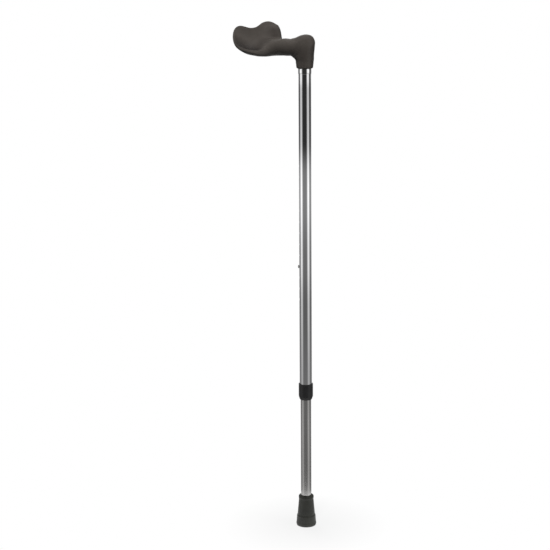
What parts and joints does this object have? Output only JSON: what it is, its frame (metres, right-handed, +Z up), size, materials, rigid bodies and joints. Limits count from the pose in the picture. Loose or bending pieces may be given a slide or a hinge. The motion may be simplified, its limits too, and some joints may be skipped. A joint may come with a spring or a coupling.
{
  "type": "walking stick",
  "caption": "Adjustable aluminium walking stick with an anatomical right-hand palm handle, snap button, locking collar and rubber tip.",
  "frame": {"origin": "on the tubes' axis at the underside of the rubber tip, where the stick meets the floor", "axes": "+Z up along the tubes; the palm rest points towards -X and its hollow opens upwards and towards -Y; the user walks towards +X"},
  "size_m": [0.142, 0.0624, 0.9169],
  "materials": {
    "handle_plastic": "matt warm-black moulded plastic with a fine grain",
    "steel": "plain bright steel",
    "black_plastic": "plain black moulded plastic",
    "polished_ring": "bright polished ring",
    "upper_tube": "bright anodised aluminium, smooth",
    "collar_plastic": "satin black moulded plastic",
    "white_plastic": "plain off-white moulded plastic",
    "lower_tube": "satin anodised aluminium",
    "tip_rubber": "dull dark grey moulded rubber"
  },
  "bodies": {
    "upper": {"handle_body": "handle_plastic", "handle_screw": "steel", "tube_plug": "black_plastic", "trim_ring": "polished_ring", "outer_tube": "upper_tube", "collar_bush": "black_plastic"},
    "clamp_ring": {"clamp_ring": "white_plastic"},
    "collar": {"locking_collar": "collar_plastic"},
    "lower": {"inner_tube": "lower_tube", "guide_bush": "white_plastic", "button_spring": "steel", "rubber_tip": "tip_rubber", "tip_washer": "steel"},
    "button": {"snap_button": "steel"}
  },
  "joints": [
    {"name": "height_slide", "type": "slide", "parent": "upper", "child": "lower", "axis": [0, 0, 1], "range_m": [-0.06, 0.18]},
    {"name": "button_press", "type": "slide", "parent": "lower", "child": "button", "axis": [1, 0, 0], "range_m": [0, 0.0037], "stiffness_N_per_m": 2000, "springref_m": -0.002, "deforming": ["button_spring"]},
    {"name": "clamp_ring_travel", "type": "slide", "parent": "upper", "child": "clamp_ring", "axis": [0, 0, 1], "range_m": [-0.002, 0]},
    {"name": "collar_turn", "type": "hinge", "parent": "clamp_ring", "child": "collar", "pos_m": [0, 0, 0.256], "axis": [0, 0, 1], "range_deg": [-360, 0]}
  ],
  "couplings": [
    {"joint": "clamp_ring_travel", "follows": "collar_turn", "m_per_rad": 0.00031831}
  ]
}
